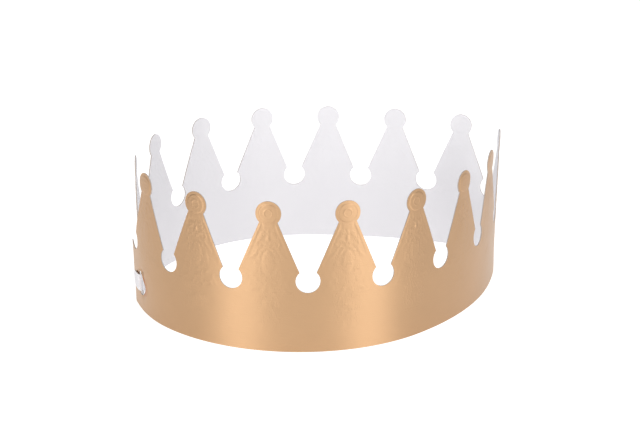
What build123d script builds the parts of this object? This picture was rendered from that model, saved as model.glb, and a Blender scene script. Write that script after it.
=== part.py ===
from build123d import *
import os
from math import cos, degrees, radians, sin, sqrt

# A crown of foil-faced card: one die-cut strip with ball-tipped spikes, bent round and hooked to itself.
# Millimetres, +Z up. The bottom edge stands on Z = 0, and the middle of the ring's box is the origin.
# The strip is followed anticlockwise as seen from above: from its front end at the left (-X), along the
# front (-Y), round the right (+X) and along the back. Its foil side faces out, to the right of that path.

# The card
card = 0.5

# The outline of the strip
spikes = 15
pitch = 38.0                # from the middle of one spike to the next
strip_height = 77.2         # bottom edge to the top of a ball
ball_radius = 6.2           # the round tip of a spike
neck_half_width = 4.4       # where the spike meets its ball
notch_radius = 6.0          # the round bottom of the gap between two spikes
mouth_half_width = 4.1      # where the gap's straight sides open into the notch
notch_bottom = 31.0         # bottom edge to the lowest point of a notch

# How the strip stands. A bend is a share of the whole row of spikes, and the degrees that it turns left.
first_heading = -72.5       # the way that the strip sets off from its cut front end, in degrees from +X
front_bend = (0.317, 115.0)     # the whole front
flank_bend = (0.164, 35.8)      # the flatter right flank
corner_bend = (0.0535, 20.4)    # the right side, up to the fold
fold_bend = (0.0213, 58.4)      # an upright fold, softened, from storing the crown flat
back_turn = 23.0            # degrees turned along the flat middle of the back

# The lock at the left. The front end is the outer layer and has a hole, and the back end hooks through it.
# Places along the strip are measured from the middle of the first spike.
tail = 24.3                 # the cut front end to the middle of the first spike
lap_gap = 0.4               # air between two layers where they hook together
lap_angle = 12.7            # degrees between the two ends, so that the tail's free end stands off a little
hole_lip = -13.0            # the straight side of the hole
hole_top = 21.2             # top end of the straight side
hole_bottom = 8.2           # bottom end of the straight side
hole_corner = 0.8           # rounding at both of those ends
hole_lobes = (              # the drop goes round these too: distance from the straight side, height, radius
    (2.4, 10.2, 1.9),       # its bottom
    (3.0, 12.6, 2.3),       # its round right side
)
shoulder = 2.0              # the full width of the back end stops this far short of the hole
tongue_clearance = 2.0      # from each edge of the tongue to the end of the hole's straight side
tongue_return = 8.0         # what is folded back along the outside
tongue_round = 3.0          # corners of the tongue's free end
corner_share = 0.45         # the most of the tongue's width that one corner takes, if the tongue is narrow

# How far a cut runs past what it removes, and how deep it reaches on each side of the card
spare = 1.0
cut_reach = 8.0
carried_on = 10.0           # degrees

# Worked out from the sizes above
neck_height = strip_height - ball_radius - sqrt(ball_radius**2 - neck_half_width**2)
notch_centre = notch_bottom + notch_radius
foot_height = notch_centre + sqrt(notch_radius**2 - mouth_half_width**2)
foot_half_width = pitch / 2 - mouth_half_width
spike_row = spikes * pitch
layer_step = card + lap_gap
tongue_bottom = hole_bottom + tongue_clearance
tongue_width = hole_top - tongue_clearance - tongue_bottom
tongue_corner = min(tongue_round, corner_share * tongue_width)


# Finding the way along the strip. A place is (x, y, heading). A run is (radius, degrees turned to the left).
def as_run(bend):
    share, turn = bend
    return (share * spike_row / radians(turn), turn)


def reach(heading, turn):
    """The step, for each millimetre of radius, that a left turn takes from its start to its end."""
    start, end = radians(heading), radians(heading + turn)
    return Vector(sin(end) - sin(start), cos(start) - cos(end))


def follow(place, run):
    radius, turn = run
    step = reach(place[2], turn) * (radius if turn > 0 else -radius)
    return (place[0] + step.X, place[1] + step.Y, place[2] + turn)


def end_of(place, runs):
    for run in runs:
        place = follow(place, run)
    return place


def beside(place, distance):
    """The place at a distance to the left of another."""
    angle = radians(place[2])
    return (place[0] - distance * sin(angle), place[1] + distance * cos(angle), place[2])


def place_along(place, runs, distance):
    for radius, turn in runs:
        length = radius * abs(radians(turn))
        if distance <= length:
            return follow(place, (radius, turn * distance / length))
        distance -= length
        place = follow(place, (radius, turn))
    raise ValueError("that place is past the end of the strip")


def upright(place):
    """A plane on the card that faces out of the ring, with X along the strip and Y up."""
    x, y, heading = place
    along = Vector(cos(radians(heading)), sin(radians(heading)))
    return Plane(origin=(x, y, 0), x_dir=along, z_dir=(along.Y, -along.X, 0))


# The outer layer, from the cut end to the fold
front_start = (0.0, 0.0, first_heading)
front_runs = [as_run(front_bend), as_run(flank_bend), as_run(corner_bend)]
front_radius = front_runs[0][0]
fold_start = end_of(front_start, front_runs)

# The back end comes in at its angle and touches, one layer step away, the straight side of the hole.
lip = place_along(front_start, front_runs, tail + hole_lip)
hook_start = beside((lip[0], lip[1], lip[2] + 360 - lap_angle), layer_step)

# The two long bends of the back take the radii that bring the strip exactly there. Their headings are
# settled, so each one's step is in proportion to its radius: two radii for one equation in X and one in Y.
back_start = end_of(fold_start, [as_run(fold_bend)])
sweep_heading = back_start[2] + back_turn
sweep_turn = hook_start[2] - sweep_heading
flat_reach = reach(back_start[2], back_turn)
sweep_reach = reach(sweep_heading, sweep_turn)
gap = Vector(hook_start[0] - back_start[0], hook_start[1] - back_start[1])
both = flat_reach.X * sweep_reach.Y - flat_reach.Y * sweep_reach.X
flat_radius = (gap.X * sweep_reach.Y - gap.Y * sweep_reach.X) / both
sweep_radius = (flat_reach.X * gap.Y - flat_reach.Y * gap.X) / both
back_runs = [as_run(fold_bend), (flat_radius, back_turn), (sweep_radius, sweep_turn)]
neck_turn = degrees(shoulder / sweep_radius)
body_runs = back_runs[:-1] + [(sweep_radius, sweep_turn - neck_turn)]


def strip_place(distance):
    """A place on the strip, by its distance from the middle of the first spike.

    The last bend is carried on, for the notch that the strip's end cuts short.
    """
    runs = front_runs + back_runs[:-1] + [(sweep_radius, sweep_turn + carried_on)]
    return place_along(front_start, runs, tail + distance)


def lay_wall(start, runs):
    """Draw the outline, as seen from above, of card that follows the runs."""
    starts, ends = [], []
    for side in (-card / 2, card / 2):
        x, y, heading = beside(start, side)
        point = Vector(x, y)
        tangent = Vector(cos(radians(heading)), sin(radians(heading)))
        starts.append(point)
        for radius, turn in runs:
            arc = JernArc(point, tangent, radius - side if turn > 0 else radius + side, turn)
            point, tangent = arc @ 1, arc % 1
        ends.append(point)
    Line(starts[0], starts[1])
    Line(ends[0], ends[1])


def cut_round_spike(number):
    """Remove the waste on both sides of one spike."""
    with BuildSketch(upright(strip_place(number * pitch))) as waste:
        with Locations((0, foot_height)):
            Rectangle(pitch + 2 * spare, strip_height + spare - foot_height, align=(Align.CENTER, Align.MIN))
        with BuildLine():
            left_neck, right_neck = (-neck_half_width, neck_height), (neck_half_width, neck_height)
            ThreePointArc(left_neck, (0, strip_height), right_neck)
            Polyline(right_neck, (foot_half_width, foot_height), (-foot_half_width, foot_height), left_neck)
        make_face(mode=Mode.SUBTRACT)
    extrude(waste.sketch, amount=cut_reach, both=True, mode=Mode.SUBTRACT)


def cut_notch(number):
    """Remove the round bottom of the gap after one spike."""
    with BuildSketch(upright(strip_place((number + 0.5) * pitch))) as notch:
        with Locations((0, notch_centre)):
            Circle(notch_radius)
    extrude(notch.sketch, amount=cut_reach, both=True, mode=Mode.SUBTRACT)


# The strip is cut out in two lengths that meet at the fold, and the spikes next to it are cut in both.
before_fold = int(((front_bend[0] + flank_bend[0] + corner_bend[0]) * spike_row - tail) / pitch)

with BuildPart() as front_length:
    with BuildSketch():
        with BuildLine():
            lay_wall(front_start, front_runs)
        make_face()
    extrude(amount=strip_height)
    cut_notch(-1)
    for number in range(before_fold + 2):
        cut_round_spike(number)
        cut_notch(number)
    # the front end is trimmed level with the middle of its notch, and has the hole
    with BuildSketch(upright(strip_place(0))):
        with Locations((-pitch / 2, notch_centre)):
            Rectangle(tail, strip_height, align=(Align.MAX, Align.MIN))
    extrude(amount=cut_reach, both=True, mode=Mode.SUBTRACT)
    with BuildSketch(upright(strip_place(0))):
        for height in (hole_top - hole_corner, hole_bottom + hole_corner):
            with Locations((hole_lip + hole_corner, height)):
                Circle(hole_corner)
        for across, height, radius in hole_lobes:
            with Locations((hole_lip + across, height)):
                Circle(radius)
        make_hull()
    extrude(amount=cut_reach, both=True, mode=Mode.SUBTRACT)

with BuildPart() as back_length:
    with BuildSketch():
        with BuildLine():
            lay_wall(fold_start, body_runs)
        make_face()
    extrude(amount=strip_height)
    for number in range(before_fold, spikes):
        cut_round_spike(number)
        cut_notch(number)

# The tongue runs on to the hole's straight side, turns right round it and comes back along the outside.
tongue_start = end_of(fold_start, body_runs)
outside_radius = front_radius + layer_step
tongue_runs = [
    (sweep_radius, neck_turn),
    (layer_step, lap_angle - 180.0),
    (outside_radius, -degrees(tongue_return / outside_radius)),
]

with BuildPart() as tongue:
    with BuildSketch(Plane.XY.offset(tongue_bottom)):
        with BuildLine():
            lay_wall(tongue_start, tongue_runs)
        make_face()
    extrude(amount=tongue_width)
    free_end = end_of(tongue_start, tongue_runs)
    tip_middle = (free_end[0], free_end[1], tongue_bottom + tongue_width / 2)
    tip = tongue.faces().sort_by_distance(tip_middle)[0]
    fillet(tip.edges().sort_by(SortBy.LENGTH)[:2], radius=tongue_corner)

with BuildPart() as ring:
    add(front_length.part)
    add(back_length.part)
    add(tongue.part)

middle = ring.part.bounding_box().center()
with BuildPart() as crown_band:
    with Locations((-middle.X, -middle.Y, 0)):
        add(ring.part)
crown_band.part.label = "crown_band"

print(f"back radii {flat_radius:.1f}, {sweep_radius:.1f} mm; front end at {-middle.X:.2f}, {-middle.Y:.2f}")
print(f"strip {sum(radius * radians(turn) for radius, turn in front_runs + back_runs):.1f} mm to the hook")

os.makedirs("parts", exist_ok=True)
export_step(crown_band.part, "parts/crown_band.step")
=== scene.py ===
# %% [markdown]
# # A crown of foil-faced card
#
# A party crown is one strip of card with gold foil on its outside. A die cuts its outline, a second die
# presses a faint ornament into every spike, and then the strip is bent into a ring and its back end is
# hooked through a hole in its front end. This lesson makes it in that order: a flat blank first, with
# everything that is cut and pressed, and the bending last. A pattern that is drawn on the flat blank
# then bends with the card for nothing, and so does a hole.

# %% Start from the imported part
import bpy
from math import asin, atan2, cos, degrees, pi, radians, sin, sqrt
from mathutils import Matrix, Vector


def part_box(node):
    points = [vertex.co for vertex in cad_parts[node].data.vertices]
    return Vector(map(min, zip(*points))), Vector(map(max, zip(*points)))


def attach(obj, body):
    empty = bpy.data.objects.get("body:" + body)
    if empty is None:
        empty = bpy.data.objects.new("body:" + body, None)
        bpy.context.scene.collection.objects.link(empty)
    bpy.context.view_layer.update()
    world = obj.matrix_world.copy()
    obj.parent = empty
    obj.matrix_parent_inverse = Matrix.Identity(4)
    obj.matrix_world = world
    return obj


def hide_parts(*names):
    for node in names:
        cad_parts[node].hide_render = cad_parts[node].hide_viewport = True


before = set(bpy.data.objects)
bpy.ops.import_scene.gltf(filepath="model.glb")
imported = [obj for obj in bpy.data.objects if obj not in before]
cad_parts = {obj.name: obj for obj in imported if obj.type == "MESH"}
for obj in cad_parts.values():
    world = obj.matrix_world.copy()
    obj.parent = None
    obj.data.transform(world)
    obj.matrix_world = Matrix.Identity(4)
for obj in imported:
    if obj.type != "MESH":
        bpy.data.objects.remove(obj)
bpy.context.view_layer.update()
low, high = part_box("crown_band")
print("the part's box in mm:", [round(size * 1000, 2) for size in high - low])

# %% [markdown]
# ## Sizes
#
# Blender counts in metres, so the few driving sizes are written in millimetres and turned into metres
# here, once. What can be worked out from them is worked out, so that changing the pitch moves every
# spike and its ornament.

# %% The sizes of the blank
MM = 0.001

card = 0.5 * MM
spikes = 15
pitch = 38.0 * MM
strip_height = 77.2 * MM
ball_radius = 6.2 * MM
neck_half_width = 4.4 * MM
notch_radius = 6.0 * MM
mouth_half_width = 4.1 * MM
notch_bottom = 31.0 * MM
tail = 24.3 * MM                # from the cut front end to the middle of the first spike

ball_centre = strip_height - ball_radius
neck_height = ball_centre - sqrt(ball_radius**2 - neck_half_width**2)
notch_centre = notch_bottom + notch_radius
foot_height = notch_centre + sqrt(notch_radius**2 - mouth_half_width**2)
foot_half_width = pitch / 2 - mouth_half_width
row_length = spikes * pitch
print(f"a spike is {2 * foot_half_width / MM:.1f} mm wide at its foot and "
      f"{2 * neck_half_width / MM:.1f} mm at its neck")

# %% The sizes of the lock
lap_gap = 0.4 * MM
lap_angle = 12.7                # degrees between the two ends
hole_lip = -13.0 * MM           # the hole's straight side, from the middle of the first spike
hole_top = 21.2 * MM
hole_bottom = 8.2 * MM
hole_corner = 0.8 * MM
hole_lobes = [(2.4 * MM, 10.2 * MM, 1.9 * MM), (3.0 * MM, 12.6 * MM, 2.3 * MM)]
shoulder = 2.0 * MM
tongue_clearance = 2.0 * MM
tongue_return = 8.0 * MM
tongue_round = 3.0 * MM

layer_step = card + lap_gap
tongue_bottom = hole_bottom + tongue_clearance
tongue_top = hole_top - tongue_clearance
print(f"the tongue is {(tongue_top - tongue_bottom) * 1000:.1f} mm wide")

# %% [markdown]
# ## Small helpers
#
# An operator acts on whatever is selected, as a click does in the window, so every step says first what
# it works on. Modifiers are applied as soon as they are set, because the next step needs their result.

# %% Selecting and applying
def work_on(piece):
    """Make one object the only selected one, and the active one."""
    if bpy.context.object and bpy.context.object.mode != "OBJECT":
        bpy.ops.object.mode_set(mode="OBJECT")
    bpy.ops.object.select_all(action="DESELECT")
    piece.select_set(True)
    bpy.context.view_layer.objects.active = piece


def edit(piece, kind="VERT"):
    """Open a piece in edit mode with nothing selected."""
    work_on(piece)
    bpy.ops.object.mode_set(mode="EDIT")
    bpy.ops.mesh.select_mode(type=kind)
    bpy.ops.mesh.select_all(action="DESELECT")


def select_points(piece, wanted):
    """Select the points of a piece in edit mode whose place passes a test."""
    bpy.ops.object.mode_set(mode="OBJECT")
    for point in piece.data.vertices:
        point.select = wanted(point.co)
    bpy.ops.object.mode_set(mode="EDIT")


def add_modifier(piece, kind, **settings):
    """Add a modifier, set it and apply it."""
    work_on(piece)
    modifier = piece.modifiers.new(kind.title(), kind)
    for name, value in settings.items():
        setattr(modifier, name, value)
    bpy.ops.object.modifier_apply(modifier=modifier.name)


def faces_of(piece):
    return len(piece.data.polygons)


# %% [markdown]
# ## One spike of the flat blank
#
# The outline of a spike is a list of rows, each with its height and half its width. A row of faces is
# started as a grid and its top edge is extruded upwards again and again, and each new edge is resized to
# its row's width. So the mesh has neat columns that follow the spike's sides. A round stretch takes its
# rows at even angles and not at even heights, because that is what keeps an arc round.

# %% The rows of a spike
columns = 32
rows_below_tongue = 3
rows_beside_tongue = 7
rows_above_tongue = 10
rows_round_notch = 12
rows_up_cone = 38
rows_round_ball = 24


def even_rows(start, end, count, start_half, end_half):
    """Rows at even heights, after the first one, between two widths."""
    rows = []
    for step in range(1, count + 1):
        part = step / count
        rows.append((start + (end - start) * part, start_half + (end_half - start_half) * part))
    return rows


def round_rows(centre, radius, start_angle, end_angle, count, middle, side):
    """Rows at even angles round a circle. Its half width is measured from the middle, to one side."""
    rows = []
    for step in range(1, count + 1):
        angle = start_angle + (end_angle - start_angle) * step / count
        rows.append((centre - radius * cos(angle), middle + side * radius * sin(angle)))
    return rows


first_row = tongue_bottom / (rows_below_tongue + 1)
notch_end = pi - asin(mouth_half_width / notch_radius)
ball_start = asin(neck_half_width / ball_radius)

spike_rows = even_rows(first_row, tongue_bottom, rows_below_tongue, pitch / 2, pitch / 2)
spike_rows += even_rows(tongue_bottom, tongue_top, rows_beside_tongue, pitch / 2, pitch / 2)
spike_rows += even_rows(tongue_top, notch_bottom, rows_above_tongue, pitch / 2, pitch / 2)
spike_rows += round_rows(notch_centre, notch_radius, 0, notch_end, rows_round_notch, pitch / 2, -1)
spike_rows += even_rows(foot_height, neck_height, rows_up_cone, foot_half_width, neck_half_width)
spike_rows += round_rows(ball_centre, ball_radius, ball_start, pi, rows_round_ball, 0, 1)
print(len(spike_rows), "rows above the first one")

# %% Extrude the spike row by row
bpy.ops.object.select_all(action="DESELECT")
bpy.ops.mesh.primitive_grid_add(
    x_subdivisions=columns, y_subdivisions=1, size=pitch,
    location=(0, 0, pitch / 2), rotation=(pi / 2, 0, 0))
bpy.ops.transform.resize(value=(1, first_row / pitch, 1), orient_type="LOCAL", center_override=(0, 0, 0))
blank = bpy.context.object
blank.name = "paper_crown"
bpy.ops.object.transform_apply(location=True, rotation=True, scale=True)

edit(blank)
select_points(blank, lambda place: place.z > first_row / 2)
height, half_width = first_row, pitch / 2
for next_height, next_half in spike_rows:
    bpy.ops.mesh.extrude_region_move(TRANSFORM_OT_translate={"value": (0, 0, next_height - height)})
    if next_half != half_width:
        bpy.ops.transform.resize(value=(next_half / half_width, 1, 1), center_override=(0, 0, 0))
    height, half_width = next_height, next_half
bpy.ops.mesh.select_all(action="SELECT")
bpy.ops.mesh.remove_doubles(threshold=0.005 * MM)
bpy.ops.object.mode_set(mode="OBJECT")
print("one spike:", faces_of(blank), "faces,", [round(size * 1000, 2) for size in blank.dimensions], "mm")

# %% [markdown]
# ## The ornament
#
# The second die of the real crown presses a faint ornament outwards: a raised button in the ball, a
# jewel on the cone, and leaf scrolls round it. The die is drawn as lines and flat shapes. A scroll is a
# line that keeps turning more tightly, so it is drawn the way that a pen moves: from a starting place,
# along one bend after another. A point is spun round the middle of each bend, and leaves a line behind
# it.

# %% Walk along bends
def beside(place, distance):
    """The place at a distance to the left of another. A place is its x, its y and its heading in degrees."""
    angle = radians(place[2])
    return (place[0] - distance * sin(angle), place[1] + distance * cos(angle), place[2])


def centre_of(place, run):
    """The middle of the circle that a run follows."""
    radius, turn = run
    return beside(place, radius if turn > 0 else -radius)


def follow(place, run):
    """The place at the end of a run."""
    radius, turn = run
    x, y, _ = centre_of(place, run)
    return beside((x, y, place[2] + turn), -radius if turn > 0 else radius)


def end_of(place, runs):
    for run in runs:
        place = follow(place, run)
    return place


def length_of(runs):
    return sum(radius * abs(radians(turn)) for radius, turn in runs)


# %% Draw with a point
degrees_a_step = 1.5
degrees_a_stroke_step = 6       # the ornament's strokes are small, so they need fewer points


def new_drawing(name):
    """An empty mesh object to draw in."""
    bpy.ops.object.select_all(action="DESELECT")
    bpy.ops.mesh.primitive_plane_add(size=card)
    drawing = bpy.context.object
    drawing.name = name
    edit(drawing)
    bpy.ops.mesh.select_all(action="SELECT")
    bpy.ops.mesh.delete(type="VERT")
    return drawing


def draw(drawing, start, runs, upright, step=degrees_a_step):
    """Draw a line of bends, lying on the ground or upright and seen from the front."""
    edit(drawing)
    x, y, _ = start
    bpy.ops.mesh.primitive_plane_add(size=card, location=(x, 0, y) if upright else (x, y, 0))
    bpy.ops.mesh.merge(type="CENTER")
    place = start
    for run in runs:
        x, y, _ = centre_of(place, run)
        bpy.ops.mesh.spin(
            steps=max(6, round(abs(run[1]) / step)), angle=-radians(run[1]),
            center=(x, 0, y) if upright else (x, y, 0), axis=(0, -1, 0) if upright else (0, 0, 1))
        place = follow(place, run)
    bpy.ops.object.mode_set(mode="OBJECT")


def draw_oval(drawing, height, half_width, half_height, filled):
    """Draw an upright oval on the middle line of a spike."""
    edit(drawing)
    bpy.ops.mesh.primitive_circle_add(
        vertices=64, radius=half_width, fill_type="NGON" if filled else "NOTHING",
        location=(0, 0, height), rotation=(pi / 2, 0, 0))
    bpy.ops.transform.resize(value=(1, 1, half_height / half_width), center_override=(0, 0, height))
    bpy.ops.object.mode_set(mode="OBJECT")


def mirror_drawing(drawing):
    """Give the drawing its left half."""
    add_modifier(drawing, "MIRROR", use_axis=(True, False, False), merge_threshold=0.01 * MM)


def press(piece, die, height, reach, kind):
    """Move the card out where it is near a die: fully at the die, and smoothly less up to its reach."""
    piece.vertex_groups.new(name="pressed").add(list(range(len(piece.data.vertices))), 1.0, "REPLACE")
    add_modifier(
        piece, "VERTEX_WEIGHT_PROXIMITY", vertex_group="pressed", target=die, proximity_mode="GEOMETRY",
        proximity_geometry={kind}, min_dist=reach, max_dist=0, falloff_type="SMOOTH")
    add_modifier(piece, "DISPLACE", vertex_group="pressed", direction="Y", strength=-height, mid_level=0)
    piece.vertex_groups.remove(piece.vertex_groups["pressed"])


# %% Draw the two dies
side_heading = degrees(atan2(neck_height - foot_height, neck_half_width - foot_half_width))
border_inset = 1.9 * MM
border_start = (foot_half_width - border_inset, foot_height + border_inset)
border_length = 0.86 * (neck_height - foot_height) / sin(radians(side_heading))
nearly_straight = 2.0
jewel_height = 46.0 * MM


def strokes_in_mm(x, z, heading, *runs):
    """A stroke of the ornament, with its lengths in millimetres."""
    return ((x * MM, z * MM, heading), [(radius * MM, turn) for radius, turn in runs])


strokes = [
    ((*border_start, side_heading), [(nearly_straight, degrees(border_length / nearly_straight))]),
    strokes_in_mm(0, 65.0, 0, (5.6, 26)),
    strokes_in_mm(0, 63.6, 0, (5.6, 22)),
    strokes_in_mm(0.5, 54.6, 70, (4.4, -50), (1.9, -150), (1.0, -140)),
    strokes_in_mm(0.7, 55.8, 95, (6.0, 20), (2.4, -120), (1.0, -120)),
    strokes_in_mm(0.8, 36.6, -20, (5.5, 70), (2.6, 120), (1.3, 170)),
    strokes_in_mm(0.6, 35.2, -75, (12.0, 30), (3.0, 110), (1.4, 170)),
    strokes_in_mm(0.6, 28.6, -100, (9.0, 40), (2.0, 90)),
    strokes_in_mm(3.2, 24.4, -130, (5.0, 60)),
    strokes_in_mm(6.4, 30.6, -30, (4.0, 60), (1.2, 130)),
    strokes_in_mm(5.2, 52.6, -70, (9.0, 36)),
    strokes_in_mm(5.9, 46.8, -100, (6.0, 40)),
    strokes_in_mm(1.9, 60.6, -60, (5.0, 50)),
    strokes_in_mm(9.2, 35.8, -80, (4.0, -60)),
    strokes_in_mm(2.0, 19.6, -60, (3.0, 80)),
    strokes_in_mm(1.6, 16.0, -100, (4.0, 50)),
]

lines = new_drawing("line_die")
for start, runs in strokes:
    draw(lines, start, runs, upright=True, step=degrees_a_stroke_step)
mirror_drawing(lines)
crescent_radius = 2.1 * MM
crescent_top = ball_centre + crescent_radius
for heading, turn in ((180, 75), (0, -40)):
    start = (0, crescent_top, heading)
    draw(lines, start, [(crescent_radius, turn)], upright=True, step=degrees_a_stroke_step)
draw_oval(lines, jewel_height, 4.4 * MM, 8.0 * MM, filled=False)

shapes = new_drawing("shape_die")
draw_oval(shapes, ball_centre, 4.3 * MM, 4.3 * MM, filled=True)
draw_oval(shapes, jewel_height, 2.6 * MM, 5.6 * MM, filled=True)
for bead_height in (61.6, 58.4, 23.4, 20.4, 17.8):
    draw_oval(shapes, bead_height * MM, 0.35 * MM, 0.45 * MM, filled=True)
print("the dies:", len(lines.data.edges), "lines and", faces_of(shapes), "shapes")

# %% Press them
ornament_height = 0.12 * MM
ornament_reach = 0.6 * MM
press(blank, lines, ornament_height, ornament_reach, "EDGE")
press(blank, shapes, ornament_height, ornament_reach, "FACE")
for die in (lines, shapes):
    bpy.data.objects.remove(die)
relief = max(-point.co.y for point in blank.data.vertices)
print(f"the ornament stands {relief / MM:.2f} mm proud")

# %% [markdown]
# ## The row of spikes
#
# All spikes are the same, so the row is an Array of one, with its neighbours' points merged. The array
# starts one spike too early: the tail is what is left of that spike after it is cut off.

# %% Array the spike
for point in blank.data.vertices:
    point.co.x -= pitch
add_modifier(
    blank, "ARRAY", count=spikes + 1, use_relative_offset=False, use_constant_offset=True,
    constant_offset_displace=(pitch, 0, 0), use_merge_vertices=True, merge_threshold=0.01 * MM)
print("the row:", faces_of(blank), "faces,", round(blank.dimensions.x * 1000, 1), "mm long")

# %% [markdown]
# ## Both ends
#
# The outer end is cut straight, and level with the middle of the gap it would share with a spike that
# isn't there. The inner end narrows to a tongue, which is extruded from the edge of the cut, column by
# column, the same way as the spikes grew. Its columns are close together where it will turn sharply
# round the lip of the hole.

# %% The way that the strip stands
first_heading = -72.5
# each bend is a share of the row of spikes, and the degrees that it turns to the left
front_bends = [(0.317, 115.0), (0.164, 35.8), (0.0535, 20.4)]
fold_bend = (0.0213, 58.4)
back_turn = 23.0


def as_run(bend):
    """Turn a share of the row into a radius. A run is its radius and its degrees to the left."""
    share, turn = bend
    return (share * row_length / radians(turn), turn)


front_start = (0.0, 0.0, first_heading)
front_runs = [as_run(bend) for bend in front_bends]
front_radius = front_runs[0][0]
back_start = end_of(front_start, front_runs + [as_run(fold_bend)])

# The back end meets the straight side of the hole at its angle, one layer further in.
lip = follow(front_start, (front_radius, degrees((tail + hole_lip) / front_radius)))
hook_start = beside((lip[0], lip[1], lip[2] + 360 - lap_angle), layer_step)

# Two bends of the back bring it exactly there: their radii solve one equation in x and one in y.
sweep_heading = back_start[2] + back_turn
flat_reach = Vector(follow((0, 0, back_start[2]), (1, back_turn))[:2])
sweep_reach = Vector(follow((0, 0, sweep_heading), (1, hook_start[2] - sweep_heading))[:2])
gap = Vector(hook_start[:2]) - Vector(back_start[:2])
both = flat_reach.cross(sweep_reach)
flat_run = (gap.cross(sweep_reach) / both, back_turn)
sweep_run = (flat_reach.cross(gap) / both, hook_start[2] - sweep_heading)
ring_runs = front_runs + [as_run(fold_bend), flat_run, sweep_run]

outside_radius = front_radius + layer_step
wrap_run = (layer_step, lap_angle - 180)
return_run = (outside_radius, -degrees(tongue_return / outside_radius))
path_runs = ring_runs + [wrap_run, return_run]

hook = length_of(ring_runs) - tail          # measured along the blank, from the middle of the first spike
body_end = hook - shoulder
print(f"the back's radii are {flat_run[0] * 1000:.1f} and {sweep_run[0] * 1000:.1f} mm; "
      f"the hook starts {hook * 1000:.1f} mm along")

# %% Cut both ends
for cut, keeps_right in ((-tail, True), (body_end, False)):
    edit(blank)
    bpy.ops.mesh.select_all(action="SELECT")
    bpy.ops.mesh.bisect(
        plane_co=(cut, 0, 0), plane_no=(1, 0, 0), threshold=0.001 * MM,
        clear_inner=keeps_right, clear_outer=not keeps_right)

edit(blank, "FACE")
bpy.ops.object.mode_set(mode="OBJECT")
for face in blank.data.polygons:
    face.select = face.center.x < -pitch / 2 and face.center.z > notch_centre
bpy.ops.object.mode_set(mode="EDIT")
bpy.ops.mesh.delete(type="FACE")
bpy.ops.object.mode_set(mode="OBJECT")

# %% Extrude the tongue column by column
tongue_middle = (tongue_bottom + tongue_top) / 2
half_tongue = (tongue_top - tongue_bottom) / 2
wrap = length_of([wrap_run])


def tongue_half_width(distance):
    """Half the tongue's width, by the distance along its folded-back end. Its corners are round."""
    into_corner = max(0.0, distance - (tongue_return - tongue_round))
    return half_tongue - tongue_round + sqrt(max(0.0, tongue_round**2 - into_corner**2))


shoulder_steps = 2
wrap_steps = 16
straight_steps = 5
corner_steps = 8
tongue_columns = [(shoulder * step / shoulder_steps, half_tongue) for step in range(1, shoulder_steps + 1)]
tongue_columns += [(shoulder + wrap * step / wrap_steps, half_tongue) for step in range(1, wrap_steps + 1)]
for step in range(1, straight_steps + 1):
    distance = (tongue_return - tongue_round) * step / straight_steps
    tongue_columns.append((shoulder + wrap + distance, tongue_half_width(distance)))
for step in range(1, corner_steps + 1):
    distance = tongue_return - tongue_round + tongue_round * sin(pi / 2 * step / corner_steps)
    tongue_columns.append((shoulder + wrap + distance, tongue_half_width(distance)))

edit(blank)
slack = 0.01 * MM
select_points(blank, lambda place: (
    place.x > body_end - slack and tongue_bottom - slack < place.z < tongue_top + slack))
reached, half_width = 0.0, half_tongue
for next_reach, next_half in tongue_columns:
    bpy.ops.mesh.extrude_region_move(TRANSFORM_OT_translate={"value": (next_reach - reached, 0, 0)})
    if next_half != half_width:
        bpy.ops.transform.resize(
            value=(1, 1, next_half / half_width), center_override=(0, 0, tongue_middle))
    reached, half_width = next_reach, next_half
bpy.ops.object.mode_set(mode="OBJECT")
print("with its tongue:", faces_of(blank), "faces,", round(blank.dimensions.x * 1000, 1), "mm long")

# %% [markdown]
# ## Thickness, and the hole
#
# Solidify gives the blank its card thickness. Its own faces stay the foil side, and the new ones take
# the next two materials: the white side, and the cut edge all round.

# %% Solidify
finishes = [bpy.data.materials.new(name) for name in ("gold_foil", "white_card", "cut_edge")]
for finish in finishes:
    blank.data.materials.append(finish)
for point in blank.data.vertices:
    point.co.y -= card / 2
add_modifier(
    blank, "SOLIDIFY", thickness=card, offset=-1, use_rim=True, material_offset=1, material_offset_rim=2)
print("as a slab:", faces_of(blank), "faces")

# %% [markdown]
# The hole is die-cut, shaped like a drop with one straight side. A drop is the hull of a few circles, so
# the cutter is four cylinders with a convex hull drawn round them. It is cut while the card is flat, and
# the wall of the cut takes the cutter's material, which is the cut edge.

# %% Cut the hole
hole_circles = [
    (hole_lip + hole_corner, hole_top - hole_corner, hole_corner),
    (hole_lip + hole_corner, hole_bottom + hole_corner, hole_corner)]
hole_circles += [(hole_lip + across, height, radius) for across, height, radius in hole_lobes]

bpy.ops.object.select_all(action="DESELECT")
for number, (across, height, radius) in enumerate(hole_circles):
    bpy.ops.mesh.primitive_cylinder_add(
        vertices=64, radius=radius, depth=10 * card, location=(across, 0, height), rotation=(pi / 2, 0, 0))
    if number == 0:
        cutter = bpy.context.object
        bpy.ops.object.transform_apply(location=True, rotation=True, scale=True)
        bpy.ops.object.mode_set(mode="EDIT")
bpy.ops.mesh.select_all(action="SELECT")
bpy.ops.mesh.convex_hull()
bpy.ops.mesh.normals_make_consistent(inside=False)
bpy.ops.object.mode_set(mode="OBJECT")
cutter.data.materials.append(finishes[2])
print("the cutter:", [round(size * 1000, 1) for size in cutter.dimensions], "mm")

add_modifier(
    blank, "BOOLEAN", operation="DIFFERENCE", object=cutter, solver="EXACT", material_mode="TRANSFER")
bpy.data.objects.remove(cutter)
print("with its hole:", faces_of(blank), "faces, materials", [slot.name for slot in blank.material_slots])

# %% [markdown]
# Hooking the tongue in has dished the card beside the hole. A short line along the hole's rim is the die
# for it, pressed inwards over a longer reach than the ornament's.

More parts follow.
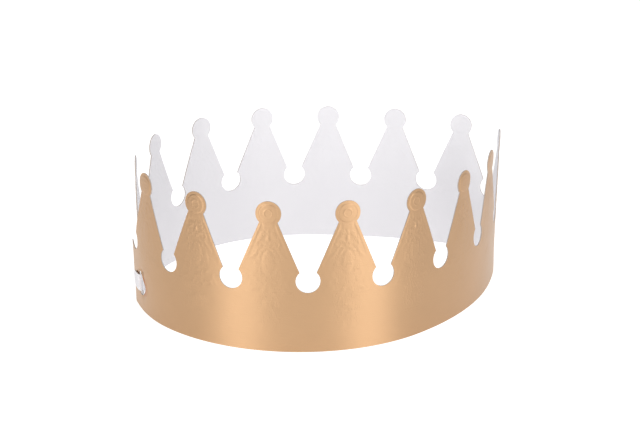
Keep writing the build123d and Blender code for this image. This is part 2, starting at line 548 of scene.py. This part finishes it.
# %% Press the card in beside the hole
lip_die = new_drawing("lip_die")
lobe_across, lobe_height, lobe_radius = hole_lobes[-1]
rim_angle = -50                 # where the die starts, in degrees round the lobe
rim_start = (
    hole_lip + lobe_across + lobe_radius * cos(radians(rim_angle)),
    lobe_height + lobe_radius * sin(radians(rim_angle)),
    rim_angle + 90)
rim_runs = [(lobe_radius, -rim_angle), (20 * MM, 24)]
lip_depth = 1.0 * MM
lip_reach = 4.0 * MM
draw(lip_die, rim_start, rim_runs, upright=True, step=degrees_a_stroke_step)
press(blank, lip_die, -lip_depth, lip_reach, "EDGE")
bpy.data.objects.remove(lip_die)
print(f"the card is pressed in by {lip_depth / MM:.1f} mm beside the hole")

# %% [markdown]
# Foil and fibres follow the sheet and not the room. So every corner keeps its place on the flat blank as
# a UV map, in millimetres, before anything is bent.

# %% Keep the flat places as a map
flat = blank.data.uv_layers.new(name="flat_blank")
flat_places = [0.0] * (2 * len(blank.data.loops))
for loop in blank.data.loops:
    place = blank.data.vertices[loop.vertex_index].co
    flat_places[2 * loop.index] = place.x / MM
    flat_places[2 * loop.index + 1] = place.z / MM
flat.data.foreach_set("uv", flat_places)
print(f"the map runs from {min(flat_places[::2]):.1f} to {max(flat_places[::2]):.1f} mm along the strip")

# %% [markdown]
# ## Bending
#
# A Curve modifier carries every point along a path: its x becomes the distance along the path, and its y
# the distance to one side. The path is drawn by spinning a point round the middle of one bend after
# another.

# %% Draw the path
path = new_drawing("path")
draw(path, front_start, path_runs, upright=False)
work_on(path)
print("the path has", len(path.data.vertices), "points, and ends at",
      [round(size / MM, 2) for size in path.data.vertices[-1].co[:2]], "for",
      [round(size / MM, 2) for size in end_of(front_start, path_runs)[:2]])
bpy.ops.object.convert(target="CURVE")
path.data.twist_mode = "Z_UP"
print("as a curve:", len(path.data.splines), "spline of", len(path.data.splines[0].points), "points")

# %% Bend the blank along it
for point in blank.data.vertices:
    point.co.x += tail
add_modifier(blank, "CURVE", object=path, deform_axis="POS_X")
print("bent:", [round(size * 1000, 2) for size in blank.dimensions], "mm")
bpy.data.objects.remove(path)

# %% Move it to where the part is, and compare
bent_box = [Vector(map(pick, *[point.co for point in blank.data.vertices])) for pick in (min, max)]
shift = (low + high) / 2 - (bent_box[0] + bent_box[1]) / 2
blank.data.transform(Matrix.Translation(shift))

away = []
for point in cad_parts["crown_band"].data.vertices:
    _, nearest, _, _ = blank.closest_point_on_mesh(point.co)
    away.append((nearest - point.co).length / MM)
print(f"moved by {shift.x / MM:.2f}, {shift.y / MM:.2f} mm; the part's points are at most "
      f"{max(away):.2f} mm from the sheet, and {sum(away) / len(away):.3f} mm on average")

# %% [markdown]
# ## How it really stands
#
# Card that has been stored flat doesn't bend in perfect arcs. With proportional editing, one point is
# pulled and its surroundings follow smoothly, as a thumb would move them. No pull is more than a
# millimetre and a half.

# %% Pull the ring a little out of true
def pull(piece, at, move, reach):
    """Pull the point nearest to a place, and smoothly less all that is within reach of it."""
    aim = Vector(at)
    nearest = min(piece.data.vertices, key=lambda point: (point.co - aim).length_squared).index
    edit(piece)
    bpy.ops.object.mode_set(mode="OBJECT")
    piece.data.vertices[nearest].select = True
    bpy.ops.object.mode_set(mode="EDIT")
    bpy.ops.transform.translate(
        value=move, use_proportional_edit=True, proportional_edit_falloff="SMOOTH", proportional_size=reach)
    bpy.ops.object.mode_set(mode="OBJECT")


pulls_in_mm = [
    ((97, 30, 35), (-1.2, 0, 0), 75),       # the fold, squeezed in
    ((97, 30, 0), (-0.5, 0, 0), 45),        # and more at its foot
    ((90, 0, 70), (-0.8, 0, 0), 45),        # the tips before the fold
    ((-97, 20, 70), (-1.3, 0, 0), 60),      # the tips over the lock, leaning out
    ((-97, -18, 0), (1.4, 0, 0), 40),       # the foot of the loose front end
    ((-97, -18, 32), (0.4, 0, 0), 20),      # and its top
    ((-20, 80, 70), (0.5, 0, 0), 50),       # the back
]
before = [point.co.copy() for point in blank.data.vertices]
for at, move, reach in pulls_in_mm:
    pull(blank, [size * MM for size in at], [size * MM for size in move], reach * MM)
moved = max((point.co - old).length for point, old in zip(blank.data.vertices, before))
print(f"pulled by up to {moved / MM:.2f} mm")

# %% Shading and what it stands for
work_on(blank)
bpy.ops.object.shade_smooth_by_angle(angle=radians(40))
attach(blank, "root")
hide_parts("crown_band")
print("the crown:", faces_of(blank), "faces")

# %% [markdown]
# ## Finishes
#
# Each finish is a small graph of nodes. Sums of nodes are hard to read when they are wired by hand, so a
# socket is wrapped in a class that takes plus, minus, times and powers, and a recipe adds the nodes of
# one material.

# %% Node maths
class Signal:
    """A socket that gives a value, to be used in sums as if it were a number."""

    def __init__(self, recipe, socket):
        self.recipe = recipe
        self.socket = socket

    def maths(self, operation, *values):
        return self.recipe.node("Math", {"operation": operation}, dict(enumerate(values)))

    def __add__(self, other):
        return self.maths("ADD", self, other)

    def __sub__(self, other):
        return self.maths("SUBTRACT", self, other)

    def __rsub__(self, other):
        return self.maths("SUBTRACT", other, self)

    def __mul__(self, other):
        return self.maths("MULTIPLY", self, other)

    def __pow__(self, other):
        return self.maths("POWER", self, other)

    __radd__ = __add__
    __rmul__ = __mul__


class Recipe:
    """The nodes of one material."""

    def __init__(self, material):
        material.use_nodes = True
        self.tree = material.node_tree
        self.tree.nodes.clear()

    def node(self, kind, settings, values, output=0):
        """Add a node, set it, and then set or link its inputs. Its output comes back as a signal."""
        node = self.tree.nodes.new("ShaderNode" + kind)
        for name, value in settings.items():
            setattr(node, name, value)
        for name, value in values.items():
            if isinstance(value, Signal):
                self.tree.links.new(value.socket, node.inputs[name])
            else:
                node.inputs[name].default_value = value
        return Signal(self, node.outputs[output]) if node.outputs else None

    def mix(self, factor, first, second):
        """A colour between two others."""
        return self.node("Mix", {"data_type": "RGBA"}, {0: factor, 6: first, 7: second}, output=2)

    def noise(self, place, scale, detail=2.0, roughness=0.5):
        return self.node("TexNoise", {}, {
            "Vector": place, "Scale": scale, "Detail": detail, "Roughness": roughness})

    def ramp(self, value, start, end):
        """From 0 to 1, smoothly, while a value goes from start to end."""
        if start > end:
            return 1 - self.ramp(value, end, start)
        return self.node(
            "MapRange", {"interpolation_type": "SMOOTHSTEP"},
            {"Value": value, "From Min": start, "From Max": end})

    def stretched(self, place, across, up):
        """The same place, with its pattern made longer along the card or up it."""
        return self.node("Mapping", {}, {"Vector": place, "Scale": (1 / across, 1 / up, 1)})

    def finish(self, **values):
        shader = self.node("BsdfPrincipled", {}, values)
        self.node("OutputMaterial", {}, {"Surface": shader})


print("a signal can be added, subtracted, multiplied and raised to a power")

# %% [markdown]
# The foil is a metal film on the card. It could be a plain satin metal, but a film has fine rolling
# lines along the strip, and they smear each light upwards into a tall band: that is what the anisotropy
# is for. A thin rough coat stands for the lacquer over it. Grain, fibres that show through, and a few
# shallow creases only tilt the surface.

# %% Gold foil
foil = Recipe(finishes[0])
on_blank = foil.node("UVMap", {"uv_map": "flat_blank"}, {})
cloudy = foil.noise(on_blank, 0.06, 3.0)
grain = foil.noise(foil.stretched(on_blank, 6.0, 0.35), 1.0, 3.0)
fibres = foil.noise(on_blank, 1.6, 4.0, 0.6)
colour = foil.mix(cloudy, (0.60, 0.375, 0.205, 1), (0.64, 0.40, 0.22, 1))
creases = foil.ramp(foil.noise(foil.stretched(on_blank, 9.0, 0.7), 1.0, 1.0), 0.56, 0.66)
bump = foil.node(
    "Bump", {}, {"Strength": 0.15, "Distance": 0.0002, "Height": 0.5 * grain + fibres + 0.8 * creases})

print(len(foil.tree.nodes), "nodes for the plain foil")

# %% [markdown]
# The mesh carries the soft relief of the ornament. The sharp lines at its edges are finer than its
# faces, so they are bumps: the button's edge, the ring round its dimple, and veins between the scrolls.
# The distance along the strip, folded back and forth once a spike, gives every spike the same lines.

# %% The sharp lines that the die leaves in the foil
along = foil.node("SeparateXYZ", {}, {0: on_blank}, output=0)
up = foil.node("SeparateXYZ", {}, {0: on_blank}, output=1)
across = foil.node("Math", {"operation": "PINGPONG"}, {0: along, 1: pitch / 2 / MM})
above = up - ball_centre / MM
from_ball = (across * across + above * above) ** 0.5
button = foil.ramp(from_ball, 4.75, 4.45)
ring = foil.ramp(from_ball, 1.5, 1.9) * foil.ramp(from_ball, 2.5, 2.0)
veins = foil.ramp(foil.noise(foil.stretched(on_blank, 1.3, 2.6), 1.0, 1.0), 0.56, 0.60)
inside = foil.ramp(across, 8.5, 4.5) * foil.ramp(up, 12.0, 18.0) * foil.ramp(up, 66.0, 62.0)
bump = foil.node(
    "Bump", {}, {"Strength": 0.5, "Distance": 0.0002, "Normal": bump,
                 "Height": button + 0.5 * ring + 0.4 * veins * inside})
print(len(foil.tree.nodes), "nodes with the die's lines")

# %% [markdown]
# Where the card is dished, foil mirrors foil, and its colour deepens. That reflection is painted into the
# colour: a deeper gold that fades with the distance from the lip.

# %% The painted reflection beside the hole
lip_middle = ((hole_lip + lobe_across) / MM + 2.5, lobe_height / MM + 1.5, 0)
painted_reflection_ends, painted_reflection_full = 6.5, 3.5      # mm from the middle of the lip
# a painted reflection: the deeper gold that foil mirrored in the dished foil shows
painted_reflection_gold = (0.56, 0.24, 0.075, 1)
from_lip = foil.node("VectorMath", {"operation": "DISTANCE"}, {0: on_blank, 1: lip_middle}, output=1)
# the painted reflection is mixed into the foil's colour, full near the lip and fading out further away
colour = foil.mix(foil.ramp(from_lip, painted_reflection_ends, painted_reflection_full), colour, painted_reflection_gold)
foil.finish(**{
    "Base Color": colour,
    "Metallic": 1.0,
    "Roughness": 0.42 + 0.08 * grain,
    "Anisotropic": 0.8,
    "Anisotropic Rotation": 0.25,
    "Coat Weight": 0.3,
    "Coat Roughness": 0.35,
    "Normal": bump,
})

print(len(foil.tree.nodes), "nodes for the whole foil")

# %% [markdown]
# The inside is bare white card: matt, faintly cloudy, with paper fibres.

# %% White card
white = Recipe(finishes[1])
on_blank = white.node("UVMap", {"uv_map": "flat_blank"}, {})
fibres = white.noise(on_blank, 0.8, 5.0, 0.6)
cloudy = white.noise(on_blank, 0.05, 2.0)
bump = white.node("Bump", {}, {"Strength": 0.15, "Distance": 0.0002, "Height": fibres})
white.finish(**{
    "Base Color": white.mix(cloudy, (0.755, 0.74, 0.76, 1), (0.785, 0.77, 0.785, 1)),
    "Roughness": 0.62,
    "Specular IOR Level": 0.3,
    "Normal": bump,
})

print(len(white.tree.nodes), "nodes for the white card")

# %% [markdown]
# The cut edge shows the card's grey-brown core. It has no place on the flat blank to speak of, so its
# fibres follow the object's own coordinates.

# %% Cut edge
edge = Recipe(finishes[2])
at = edge.node("TexCoord", {}, {}, output=3)
fibres = edge.noise(at, 900.0, 3.0, 0.6)
edge.finish(**{
    "Base Color": edge.mix(fibres, (0.36, 0.30, 0.26, 1), (0.52, 0.46, 0.42, 1)),
    "Roughness": 0.8,
})

print(len(edge.tree.nodes), "nodes for the cut edge")

# %% [markdown]
# ## The studio
#
# The crown stands on a white sheet that is lit until it has no horizon. A floor that glows a little does
# that with less light on the crown, and it is what fills the foil's reflections from below.

# %% Floor
bpy.ops.object.select_all(action="DESELECT")
floor_size = 80
bpy.ops.mesh.primitive_plane_add(size=floor_size)
floor = bpy.context.object
floor.name = "floor"
floor_paper = bpy.data.materials.new("floor_paper")
floor.data.materials.append(floor_paper)
paper = Recipe(floor_paper)
paper.finish(**{
    "Base Color": (0.5, 0.5, 0.5, 1),
    "Roughness": 0.9,
    "Emission Color": (1, 1, 1, 1),
    "Emission Strength": 0.8,
})
print("the floor is", floor_size, "m wide")

# %% [markdown]
# Two tall softboxes in front make the two bright bands in the foil. A wide one fills between them, one
# from above lights the white inside, and two weaker ones light the back.

# %% Lights
world = bpy.data.worlds.new("studio")
bpy.context.scene.world = world
world.use_nodes = True
world.node_tree.nodes["Background"].inputs["Color"].default_value = (0.96, 0.97, 1.0, 1)
world.node_tree.nodes["Background"].inputs["Strength"].default_value = 0.27


def add_softbox(name, place, aim, width, height, power):
    """A rectangle of light that looks at a point."""
    bpy.ops.object.light_add(type="AREA", location=place)
    light = bpy.context.object
    light.name = name
    light.data.shape = "RECTANGLE"
    light.data.size = width
    light.data.size_y = height
    light.data.energy = power
    light.rotation_euler = (Vector(aim) - Vector(place)).to_track_quat("-Z", "Y").to_euler()
    return light


aim = (0, 0, 0.04)
add_softbox("left_softbox", (-1.05, -1.35, 0.62), aim, 0.8, 1.2, 10.5)
add_softbox("right_softbox", (1.2, -1.2, 0.62), aim, 0.8, 1.2, 11.5)
add_softbox("front_fill", (0.0, -2.2, 0.9), aim, 2.6, 1.4, 7.0)
add_softbox("back_left_softbox", (-0.25, 1.9, 0.62), aim, 0.5, 1.2, 5.0)
add_softbox("back_right_softbox", (0.35, 1.9, 0.62), aim, 0.5, 1.2, 4.0)
add_softbox("top_softbox", (0.0, -0.1, 1.7), aim, 1.4, 1.4, 8.0)

scene = bpy.context.scene
scene.view_settings.view_transform = "Standard"

# %% [markdown]
# The camera looks down from a little above the crown's top, with a long lens that keeps the ring's shape
# true.

# %% Camera
camera_place = (-0.00033, -0.79758, 0.33227)
looks_down = 20                 # degrees
roll = 0.0071                   # radians
bpy.ops.object.camera_add(location=camera_place)
camera = bpy.context.object
camera.name = "camera"
camera.data.lens = 91.1
camera.data.sensor_width = 36
turned = Matrix.Rotation(radians(90 - looks_down), 3, "X") @ Matrix.Rotation(roll, 3, "Z")
camera.rotation_euler = turned.to_euler()
scene.camera = camera
print("the camera looks down by", looks_down, "degrees")
